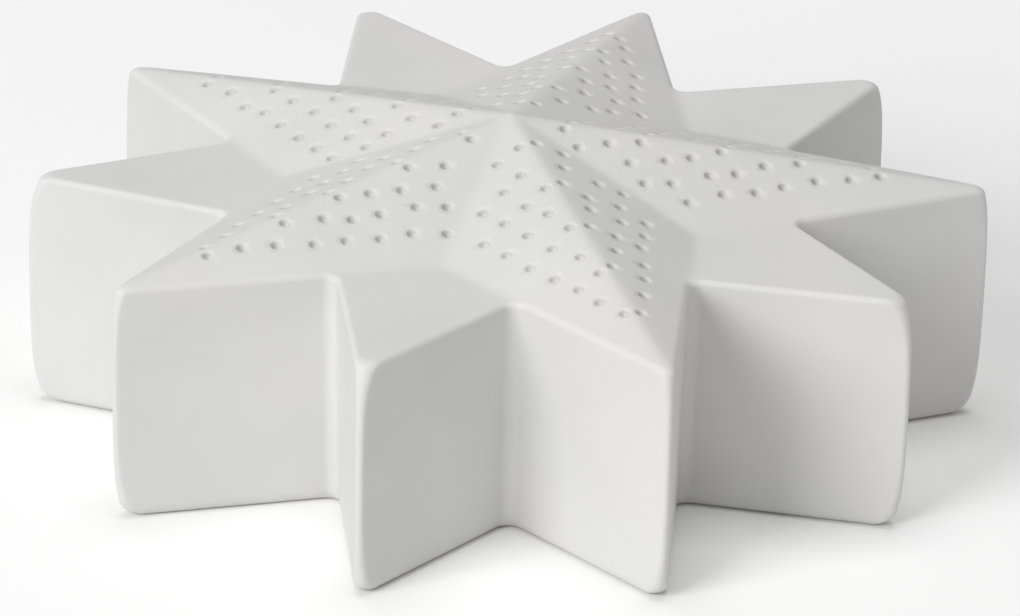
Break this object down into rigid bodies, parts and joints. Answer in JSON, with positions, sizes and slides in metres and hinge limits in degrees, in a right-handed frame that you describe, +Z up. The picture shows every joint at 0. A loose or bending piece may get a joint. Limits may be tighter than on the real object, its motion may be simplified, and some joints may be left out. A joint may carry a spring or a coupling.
{
  "type": "tealight holder",
  "caption": "Star-shaped hollow porcelain tealight holder with a raised star relief; it lifts off an LED tealight with a slide switch and a twist-lock battery cap.",
  "frame": {"origin": "centre of the base, on the table", "axes": "+Z up; +X along one raised arm of the star, so -X points to a low tip"},
  "size_m": [0.1566, 0.149, 0.052],
  "materials": {
    "bisque_porcelain": "matte",
    "white_abs": "semi-gloss",
    "cell_steel": "brushed",
    "spring_bronze": "satin",
    "circuit_laminate": "satin",
    "switch_plastic": "matte",
    "amber_epoxy": "gloss",
    "tinned_steel": "satin",
    "ivory_wax_plastic": "satin",
    "flame_plastic": "satin"
  },
  "bodies": {
    "tealight": {"tealight_cup": "white_abs", "base_plate": "white_abs", "coin_cell": "cell_steel", "contact_plus": "spring_bronze", "contact_minus": "spring_bronze", "circuit_board": "circuit_laminate", "switch_frame": "switch_plastic", "led_bulb": "amber_epoxy", "led_leads": "tinned_steel", "wax_top": "ivory_wax_plastic", "flame_cap": "flame_plastic"},
    "star": {"star_shell": "bisque_porcelain"},
    "battery_cap": {"battery_cap": "white_abs"},
    "switch_knob": {"switch_knob": "switch_plastic"}
  },
  "joints": [
    {"name": "star_lift", "type": "slide", "parent": "tealight", "child": "star", "axis": [0, 0, 1], "range_m": [0, 0.06]},
    {"name": "cap_turn", "type": "hinge", "parent": "tealight", "child": "battery_cap", "pos_m": [-0.0056, 0, 0.0016], "axis": [0, 0, 1], "range_deg": [0, 30]},
    {"name": "switch_slide", "type": "slide", "parent": "tealight", "child": "switch_knob", "axis": [0, 1, 0], "range_m": [0, 0.0025]}
  ]
}
